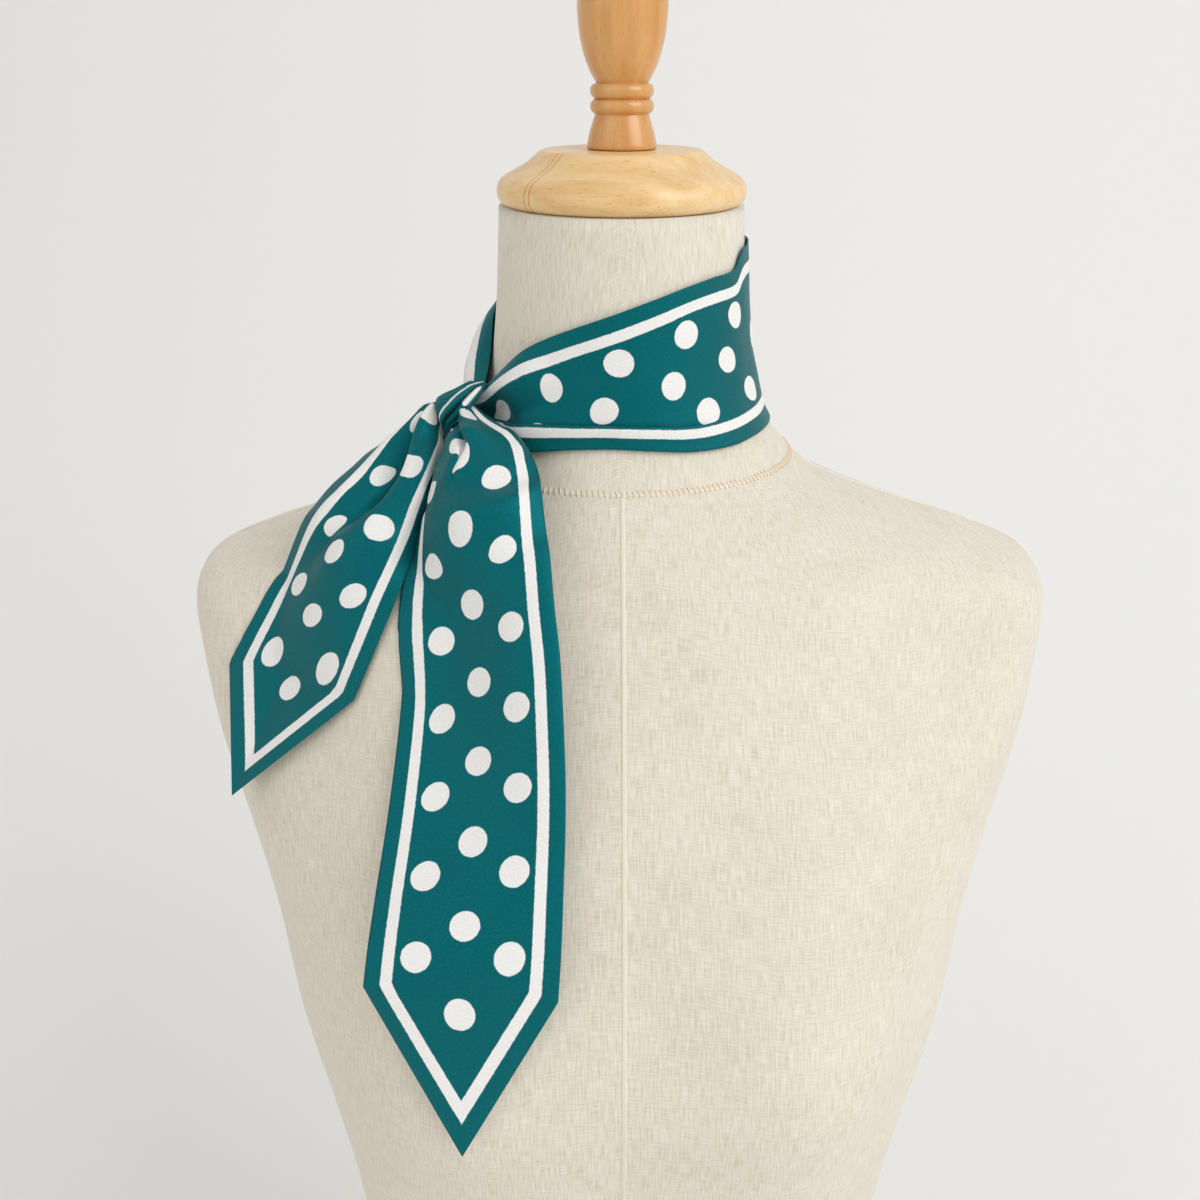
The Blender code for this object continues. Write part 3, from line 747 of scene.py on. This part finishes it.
flutes = smooth_rows(FLUTES, FLUTE_STEPS)
wrap_rows, wrap_flat = [], []
for band in smooth_rows(WRAP_BANDS, BAND_STEPS):
    width = band.outer - band.inner
    row = []
    for flute in flutes:
        rise = flute.rise * min(1.0, width / 8) * (band.flute if FLAT_FROM < flute.share < FLAT_TO else 1.0)
        rise += NARROW * wander_at(band.run, flute.w * 2, 4.4, 6.0)
        across = band.outer - width * flute.share
        row.append(KNOT_CENTRE + KNOT_RUN * band.run + KNOT_ACROSS * across + KNOT_OUT * (band.out + rise))
    wrap_rows.append(row)
    along = WRAP_SPOT_ALONG + WRAP_STRETCH * (band.run - WRAP_SPOT_RUN)
    wrap_flat.append([(SCARF_WIDTH / 2 - flute.w, along) for flute in flutes])
wrap = grid_mesh("silk_knot_wrap", wrap_rows, wrap_flat, silk)
hem_solid(wrap)
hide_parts("scarf_knot_wrap")
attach(wrap, "root")

# The gathered layers under the wrap, which run across it from the loop to the side tail. Each row is a
# slice through them: how far across it is, its middle along the flutes, and half its length and depth.
Slice = namedtuple("Slice", "across middle half deep")
FILL = [Slice(*row) for row in (
    (-3.2, -1.5, 2.5, 2.5), (-2.4, -1.5, 6.5, 5), (-0.5, -1.5, 9, 6.6),
    (1.5, -1.3, 9.8, 7.2), (3, -0.6, 9.7, 7.2), (4.5, 0.7, 8.2, 6.9),
    (6, 1.9, 6.3, 6.3), (7.5, 2.7, 4.5, 5.2), (8.8, 3.1, 2.6, 3.6),
    (9.7, 3.2, 0.6, 1.2),
)]
FILL_STEPS, FILL_SIDES = 5, 144
FILL_BACK = 0.5  # behind the middle of the knot
FILL_SHOWN, FILL_ALONG = 0.3, 800.0  # the plain share of the print that shows on it, and its place
fill_rows, fill_flat = [], []
for piece in smooth_rows(FILL, FILL_STEPS):
    row, flat = [], []
    for j in range(FILL_SIDES + 1):
        turn = 2 * math.pi * j / FILL_SIDES
        gathers = 0.05 * math.sin(9 * turn + 0.8) + 0.03 * math.sin(16 * turn + 0.3 * piece.across)
        run = piece.middle + piece.half * (1 + gathers) * math.cos(turn)
        out = piece.deep * (1 + gathers) * math.sin(turn) - FILL_BACK
        row.append(KNOT_CENTRE + KNOT_RUN * run + KNOT_ACROSS * piece.across + KNOT_OUT * out)
        flat.append((FILL_SHOWN * SCARF_WIDTH * (j / FILL_SIDES - 0.5), FILL_ALONG + piece.across))
    fill_rows.append(row)
    fill_flat.append(flat)
fill = grid_mesh("silk_knot_fill", fill_rows, fill_flat, silk)
hem_solid(fill)
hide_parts("scarf_knot_core")
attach(fill, "root")


# ------------------------ the front tail
# The longer end, which comes forward from under the knot, bends down over a soft ridge with a rolled
# pleat at its left, and falls over the chest. It lies flat from there down to its point.

# The gathered top, from inside the knot down. Each section is how far down from the knot it is, and x, y
# and z of the cloth at these widths from the tail's right edge.
FRONT_WIDTHS = (0, 6.2, 10.6, 18.5, 26, 32, 34, 35.2, 37, 41, 47, 52.5, 60.4, 71)
FRONT_TOP = {
    -20: (
        (-65.5, -65.5, -66, -68.5, -69, -69.5, -69.5, -69.5, -70, -70.5, -71, -71.5, -70.5, -69.5),
        (-12, -14, -15, -16.5, -17, -17, -17, -15, -16, -16, -15, -13, -12, -11),
        (643, 643.5, 643, 642.5, 641.5, 640, 638.5, 638, 637, 635.5, 634, 633, 632, 631.5),
    ),
    -12: (
        (-61.5, -61.5, -62.5, -66.5, -67, -67.5, -68, -67.5, -68.5, -69.5, -70, -70, -69.5, -68),
        (-16, -19.5, -21, -22.5, -23.5, -24, -24, -21, -21.5, -21, -19, -17, -15, -14),
        (641, 641, 640.5, 642, 640, 637.5, 636, 635, 633.5, 633, 631.5, 630.5, 629.5, 629),
    ),
    -4: (
        (-55, -55.5, -58, -64, -65.5, -66, -66, -65.5, -67.5, -68.5, -70, -70, -69, -67.5),
        (-21, -26, -28, -29, -30.5, -31.5, -32, -28.5, -29, -28, -24.5, -21.5, -18.5, -17),
        (637, 636.5, 636.5, 639.5, 638, 636.5, 635.5, 635, 634, 633, 631, 629.5, 628, 626.5),
    ),
    2: (
        (-49.5, -49.5, -52, -59.5, -62, -64, -65, -64, -66.5, -68.5, -70.5, -71, -70.5, -68.5),
        (-27, -33, -35, -37, -38.5, -39.5, -39.5, -35.5, -35.5, -34.5, -30.5, -26, -21.5, -19),
        (634, 634, 633.5, 636.5, 636.5, 636, 634.5, 634, 633.5, 633, 631, 629, 626.5, 624.5),
    ),
    5: (
        (-45.5, -46, -48.5, -56.5, -60, -62.5, -64, -63, -66, -68.5, -71, -71.5, -71, -69.5),
        (-31, -36, -39, -43, -44, -44, -42.5, -38.5, -38.5, -37, -33, -28.5, -24, -21),
        (633, 632.5, 632, 634, 635, 635, 633.5, 633.5, 633, 632.5, 630.5, 628.5, 625.5, 623.5),
    ),
    9: (
        (-42, -43, -45.5, -53, -58, -61, -62, -61.5, -66, -69, -72, -73.5, -74, -71.5),
        (-34, -39.5, -42, -46, -47, -46.5, -44.5, -40.5, -41, -39, -36, -31.5, -26, -22.5),
        (630.5, 630, 629.5, 630, 630.5, 630, 628, 628, 630, 629.5, 626.5, 623, 620, 618),
    ),
    15: (
        (-38.5, -40, -43.5, -51, -57, -62, -64.5, -66, -65, -68.5, -73, -75.5, -76, -74),
        (-39.5, -44.5, -47, -50, -51, -50.5, -50, -49, -45.5, -44.5, -41.5, -37, -30.5, -25),
        (627, 627, 626.5, 625, 624.5, 624, 623, 621.5, 627, 626, 621, 617.5, 614, 611.5),
    ),
    21: (
        (-35.5, -38.5, -42, -50, -56.5, -62, -64.5, -66.5, -65, -68.5, -73, -76.5, -78, -76),
        (-45, -49.5, -52, -54, -54.5, -54, -53.5, -52.5, -49.5, -49.5, -46, -41, -33.5, -26.5),
        (623, 622, 621.5, 620.5, 619.5, 619, 618.5, 617.5, 623.5, 621.5, 615.5, 611.5, 607.5, 605),
    ),
    28: (
        (-33, -37, -41, -49.5, -56.5, -61.5, -63.5, -64.5, -66.5, -70, -74.5, -77.5, -79, -77),
        (-50.5, -53.5, -55, -57, -57.5, -56.5, -56, -55.5, -54.5, -52.5, -48, -42.5, -34.5, -27.5),
        (617.5, 616.5, 616, 614.5, 614, 613.5, 613, 613, 612.5, 612, 609.5, 606.5, 603.5, 600),
    ),
}
# Below it, each row is a section: how far down from the knot, its right edge, how far it drops to its
# left in degrees, and how much the cloth turns back from the viewer at its right edge, one and two
# thirds across and at its left edge.
TailRow = namedtuple("TailRow", "down x y z drop turn_a turn_b turn_c turn_d")
FRONT_TAIL = [TailRow(*row) for row in (
    (41, -31.9, -57.5, 613.1, 17.3, -46, -1, 46, 83),
    (54, -29.9, -65, 598.8, 19.5, -37, 9, 39, 62),
    (66, -28.1, -72, 590, 19.8, -31, 19, 35, 44),
    (84, -26.2, -82, 573.4, 21.5, -25, 28, 28, 19),
    (103, -23.9, -90.5, 556.2, 19.6, -21, 27, 24, 4),
    (122, -22.7, -97, 538, 17.6, -20, 26, 17, 0),
    (146, -21.7, -104, 515.3, 14, -18, 20, 11, 4),
    (166, -21.6, -110, 495.9, 10.4, -14, 14, 7, 11),
    (187, -22.2, -118, 475.7, 5.9, -10, 6, 8, 14),
    (208, -22.9, -126, 455.5, 1.2, -6, 1, 5, 14),
    (222, -24, -130, 438.5, -3, -3, 0, 3, 16),
)]
FRONT_DOWN = 279.0  # from the knot to the tip
FRONT_TIP = Vector((-58.8, -139.0, 382.0))
TAIL_STEPS = 72  # of a section's turns
PLACE_STEPS, ROW_STEPS, POINT_STEPS = 6, 10, 28
TAIL_OFF = 1.2  # from the torso, at least


def turn_at(row, share):
    """The turn at a share of a section's width, on a cubic through its four turns."""
    t = 3 * share
    return math.radians(
        row.turn_a * (t - 1) * (t - 2) * (t - 3) / -6
        + row.turn_b * t * (t - 2) * (t - 3) / 2
        + row.turn_c * t * (t - 1) * (t - 3) / -2
        + row.turn_d * t * (t - 1) * (t - 2) / 6
    )


def tail_section(row, widths):
    """The points of a section, followed from its right edge through every turn of the cloth."""
    path = [Vector((0.0, 0.0))]
    for i in range(TAIL_STEPS):
        turn = turn_at(row, (i + 0.5) / TAIL_STEPS)
        path.append(path[-1] + Vector((math.cos(turn), math.sin(turn))) * SCARF_WIDTH / TAIL_STEPS)
    drop = math.radians(row.drop)
    leftward, back = Vector((-math.cos(drop), 0.0, -math.sin(drop))), Vector((0.0, 1.0, 0.0))
    points = []
    for w in widths:
        at = min(w / SCARF_WIDTH, 0.9999) * TAIL_STEPS  # short of the last step, so that one follows
        aside, behind = path[int(at)].lerp(path[int(at) + 1], at % 1)
        points.append(Vector((row.x, row.y, row.z)) + leftward * aside + back * behind)
    return points


def clear_of_torso(point):
    """The point, or the nearest one that lies TAIL_OFF from the torso."""
    near, normal, _, _ = torso_tree.find_nearest(point)
    stands = (point - near).dot(normal)
    return point if stands >= TAIL_OFF else point + normal * (TAIL_OFF - stands)


Place = namedtuple("Place", "w x y z")


def make_tail(name, top_widths, top, table, tip, down_to_tip, tip_along, sign, seed):
    """A tail from its gathered top, down its sections and to its point. tip_along is the tip's place
    along the scarf, and sign is 1 where the scarf's own measure runs up the tail and -1 where down."""
    knots, widths = [], []
    for down, axes in top.items():
        dense = smooth_rows([Place(*place) for place in zip(top_widths, *axes)], PLACE_STEPS)
        widths = [place.w for place in dense]
        knots.append((down, [Vector(place[1:]) for place in dense]))
    knots += [(row.down, tail_section(row, widths)) for row in table[:2]]
    sections = []
    for i in range(len(knots) - 2):
        a, b, c, d = (knots[max(0, k)] for k in (i - 1, i, i + 1, i + 2))
        for step in range(ROW_STEPS):
            t = step / ROW_STEPS
            points = [on_curve(p, q, r, s, t) for p, q, r, s in zip(a[1], b[1], c[1], d[1])]
            sections.append((on_curve(a[0], b[0], c[0], d[0], t), points))
    sections += [(row.down, tail_section(row, widths)) for row in smooth_rows(table, ROW_STEPS)]
    rows, flat = [], []
    for down, points in sections:
        lifts = [
            BROAD * wander_at(down, w, seed, 40.0) + NARROW * wander_at(down, w, seed + 5, 15.0)
            for w in widths
        ]
        rows.append([clear_of_torso(point - Vector((0.0, lift, 0.0))) for point, lift in zip(points, lifts)])
        flat.append([(SCARF_WIDTH / 2 - w, tip_along + sign * (down_to_tip - down)) for w in widths])
    corner = rows[-1]
    for i in range(1, POINT_STEPS + 1):
        share = 1 - i / POINT_STEPS
        rows.append([clear_of_torso(tip + (point - tip) * share) for point in corner])
        flat.append([
            ((SCARF_WIDTH / 2 - w) * share, tip_along + sign * POINT_LENGTH * share) for w in widths
        ])
    tail = grid_mesh(name, rows, flat, silk)
    bm = bmesh.new()
    bm.from_mesh(tail.data)
    bmesh.ops.remove_doubles(bm, verts=bm.verts, dist=0.00001)
    bm.to_mesh(tail.data)
    bm.free()
    hem_solid(tail)
    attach(tail, "root")
    return tail


front_tail = make_tail(
    "silk_front_tail", FRONT_WIDTHS, FRONT_TOP, FRONT_TAIL, FRONT_TIP, FRONT_DOWN, 0.0, 1, 1.3
)
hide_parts("scarf_front_tail")


# ------------------------ the side tail
# The shorter end, which comes from behind the knot in two rolls with a deep crease between them,
# spreads over the hollow of the shoulder and hangs down the outer side of the chest.

# Its gathered top and its sections, as those of the front tail.
SIDE_WIDTHS = (0, 6.2, 10.6, 18.5, 20.5, 23, 30, 38, 42, 45, 52.5, 60.4, 64.8, 71)
SIDE_TOP = {
    -14: (
        (-73.5, -74.5, -75, -76, -76.5, -76.5, -76.5, -77, -77, -77.5, -78.5, -79, -78.5, -78.5),
        (-4, -7, -10, -12, -11, -10, -7, -5, -5.5, -6, -7, -5, -3, 0),
        (631.5, 633.5, 635.5, 640.5, 641, 641, 639.5, 638.5, 638.5, 638.5, 640, 641, 640.5, 639.5),
    ),
    -5: (
        (-73.5, -75.5, -76, -78, -78.5, -79, -79, -79, -79.5, -80, -82.5, -83.5, -83.5, -83),
        (-5, -11, -14.5, -16, -15, -13, -9, -7, -8, -9, -10, -8, -6, -2),
        (628.5, 631.5, 634, 641.5, 642, 642, 640.5, 638.5, 638.5, 638.5, 638, 640.5, 640.5, 639),
    ),
    3: (
        (-73, -75.5, -76.5, -80, -81.5, -83, -82, -82.5, -82.5, -83.5, -86.5, -89, -89, -88.5),
        (-6, -13, -17, -18.5, -18.5, -17, -12, -9, -10, -11.5, -12.5, -10.5, -8, -4),
        (625, 628.5, 631.5, 637, 638, 638, 636, 633.5, 633, 632.5, 632.5, 635, 634.5, 633),
    ),
    14: (
        (-72, -75, -76.5, -82.5, -84, -86, -85, -85, -86, -87.5, -91.5, -96.5, -98, -98),
        (-9, -18, -21.5, -23, -23, -21, -15, -12, -13, -15.5, -16.5, -14.5, -12, -7),
        (619.5, 624, 627, 630, 630.5, 631, 628.5, 626, 625, 625, 624, 627.5, 628, 626.5),
    ),
    26: (
        (-72.5, -76, -78, -84.5, -86, -87.5, -87, -88, -89, -91, -96.5, -102, -105, -107),
        (-16, -27, -30.5, -31, -30.5, -28.5, -22, -18, -19, -20.5, -22, -20.5, -17.5, -12),
        (612.5, 618.5, 621.5, 622, 622.5, 623, 620, 617.5, 616.5, 616.5, 616, 620, 620.5, 621),
    ),
    36: (
        (-74.5, -79, -81.5, -87, -89, -90.5, -90, -91.5, -93, -95.5, -101, -107.5, -110.5, -113),
        (-26, -34.5, -36, -36, -35.5, -33.5, -28, -24.5, -25.5, -27, -28.5, -27, -24.5, -18.5),
        (605.5, 612, 613, 615, 615, 614.5, 611.5, 609, 609, 609.5, 610, 612.5, 614.5, 615.5),
    ),
    48: (
        (-79, -82.5, -85.5, -92, -94, -96, -97.5, -99.5, -101.5, -103.5, -108, -114, -117, -120.5),
        (-33, -39, -40.5, -40.5, -40, -38.5, -34, -31.5, -32, -32.5, -33.5, -32, -29.5, -23),
        (597, 602, 604, 606, 606.5, 606.5, 603, 600.5, 600.5, 601, 603, 606.5, 608, 609),
    ),
    58: (
        (-82, -85.5, -88.5, -95.5, -98, -101, -105, -108, -109.5, -111, -114, -120, -124, -127.5),
        (-38, -42.5, -44.5, -45, -45, -44.5, -41.5, -38.5, -37.5, -37, -36.5, -34, -31, -24),
        (590.5, 593, 595.5, 598.5, 599.5, 600, 599, 596.5, 596, 596, 597, 599.5, 601, 601),
    ),
    70: (
        (-85, -89, -92, -99.5, -102, -104, -110.5, -116, -118, -119, -121, -127.5, -130.5, -134),
        (-43, -46.5, -48.5, -50, -50, -50, -48, -44.5, -42, -40, -36.5, -33, -30, -25),
        (582, 584.5, 586.5, 589, 589.5, 590, 589.5, 588.5, 588, 588, 588, 590, 591, 592),
    ),
}
SIDE_TAIL = [TailRow(*row) for row in (
    (95, -90.7, -56, 566.5, 0, 9, 24, 50, 47),
    (113, -97.8, -58, 550.2, 0, 14, 30, 44, 41),
    (131, -108.1, -59, 527.1, -2.8, 22, 40, 35, 35),
)]
SIDE_DOWN = 188.0
SIDE_TIP = Vector((-162.3, -50.0, 482.4))
side_tail = make_tail(
    "silk_side_tail", SIDE_WIDTHS, SIDE_TOP, SIDE_TAIL, SIDE_TIP, SIDE_DOWN, SCARF_LENGTH, -1, 8.9
)
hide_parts("scarf_side_tail")


# ------------------------ the room
# One plain pale sweep of matt paint: a floor that curves up into the wall, so that no corner shows.
# It only catches the light and shadows.

# Matt wall paint: no shine and no grain, so the wall reads as even, pale light.
paint, _, _ = new_material("matt_wall_paint", Roughness=0.95, Base_Color=hex_colour("#F2F1EE"))
FLOOR_REACH, FLOOR_END, SWEEP_RADIUS, WALL_TOP = 7.0, 0.3, 1.2, 6.0  # metres
bend = [math.radians(angle) for angle in range(0, 91, 5)]
profile = [
    (-FLOOR_REACH, 0.0),
    *[(FLOOR_END + SWEEP_RADIUS * math.sin(a), SWEEP_RADIUS * (1 - math.cos(a))) for a in bend],
    (FLOOR_END + SWEEP_RADIUS, WALL_TOP),
]
points = [(x, y, z) for y, z in profile for x in (-FLOOR_REACH, FLOOR_REACH)]
faces = [(2 * i, 2 * i + 1, 2 * i + 3, 2 * i + 2) for i in range(len(profile) - 1)]
sweep = mesh_object("sweep", points, faces, paint)


# ------------------------ the light
# Soft window light from the upper right in front, a weaker wash from the left, and pale bounced
# light from everywhere.


def add_light(name, place, target, size, power, colour):
    """A soft light of this size in metres and power in watts, turned to its target."""
    light = bpy.data.lights.new(name, "AREA")
    light.shape = "RECTANGLE"
    light.size, light.size_y = size
    light.energy = power
    light.color = hex_colour(colour)[:3]
    obj = new_object(name, light)
    obj.location = place
    obj.rotation_euler = (Vector(target) - Vector(place)).to_track_quat("-Z", "Y").to_euler()


form_middle = (0, 0, 0.6)
add_light("window", (1.5, -1.3, 1.7), form_middle, (1.6, 1.6), 27, "#FDFDFF")
add_light("wash", (-1.6, -1.4, 1.2), form_middle, (1.4, 1.4), 5, "#FFFBF6")
world = bpy.data.worlds.new("bounced_light")
world.use_nodes = True
background = world.node_tree.nodes["Background"]
background.inputs["Color"].default_value = hex_colour("#ECEDEE")
background.inputs["Strength"].default_value = 0.78
bpy.context.scene.world = world


# ------------------------ the camera
# The photograph's view: from just above the knot, 12 degrees down.

PHOTO_WIDTH, PHOTO_FOCAL = 1200.0, 1202.0  # the photo's width and focal length, in its pixels
CAMERA_DOWN = 12.0

lens = bpy.data.cameras.new("camera")
lens.sensor_width = 36.0
lens.lens = lens.sensor_width * PHOTO_FOCAL / PHOTO_WIDTH
lens.shift_y = -0.05
lens.clip_start = 0.01
camera = new_object("camera", lens)
camera.location = (-0.009, -0.518, 0.6906)
camera.rotation_euler = (math.radians(90 - CAMERA_DOWN), 0.0, 0.0)
bpy.context.scene.camera = camera

bpy.context.scene.view_settings.view_transform = "Standard"
